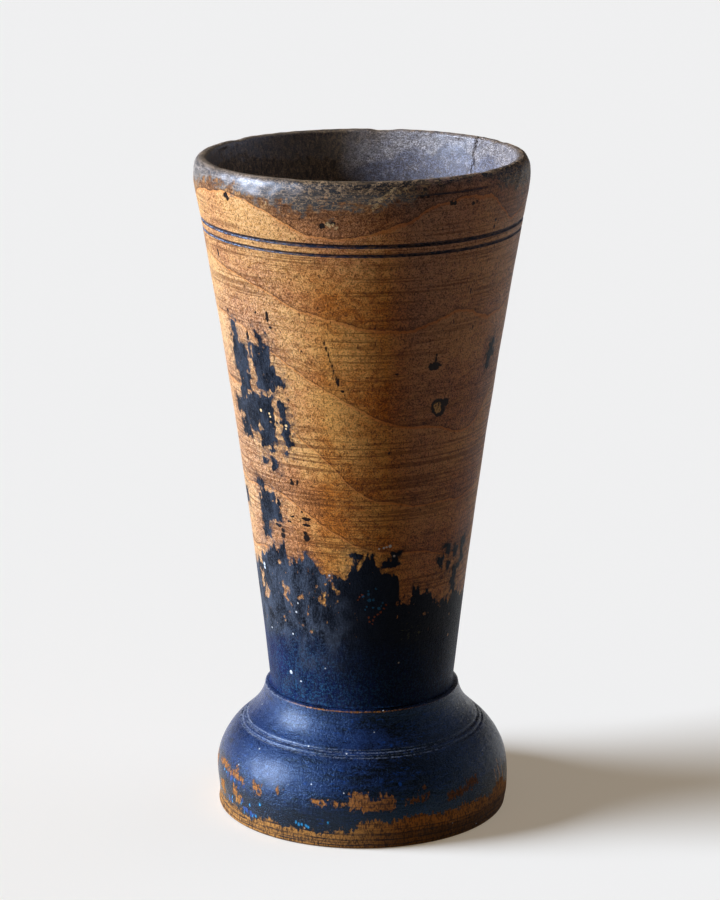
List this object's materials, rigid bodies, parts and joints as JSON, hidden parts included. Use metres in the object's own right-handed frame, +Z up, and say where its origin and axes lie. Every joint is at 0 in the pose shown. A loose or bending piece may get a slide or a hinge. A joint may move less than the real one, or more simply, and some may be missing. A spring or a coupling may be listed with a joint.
{
  "type": "turned wooden cup",
  "caption": "Tall flared wooden cup turned on a lathe, standing on a round cushion foot, with scribed lines and worn blue paint.",
  "frame": {"origin": "middle of the base, on the surface the cup stands on", "axes": "+Z up along the turning axis, towards the mouth; +X to the viewer's right in the picture and -Y towards the viewer"},
  "size_m": [0.0988, 0.0988, 0.2008],
  "materials": {
    "handled_wood": "amber brown hardwood with a hand-worn oil sheen, a dark grease-black rim and worn dark blue paint on its lower third",
    "bare_wood": "dull dark stained wood",
    "painted_wood": "old dark blue oil paint with a low sheen, worn through to brown wood at the base and on the ledge"
  },
  "bodies": {
    "root": {"beaker": "handled_wood", "floor_disc": "bare_wood", "foot": "painted_wood"}
  },
  "joints": []
}
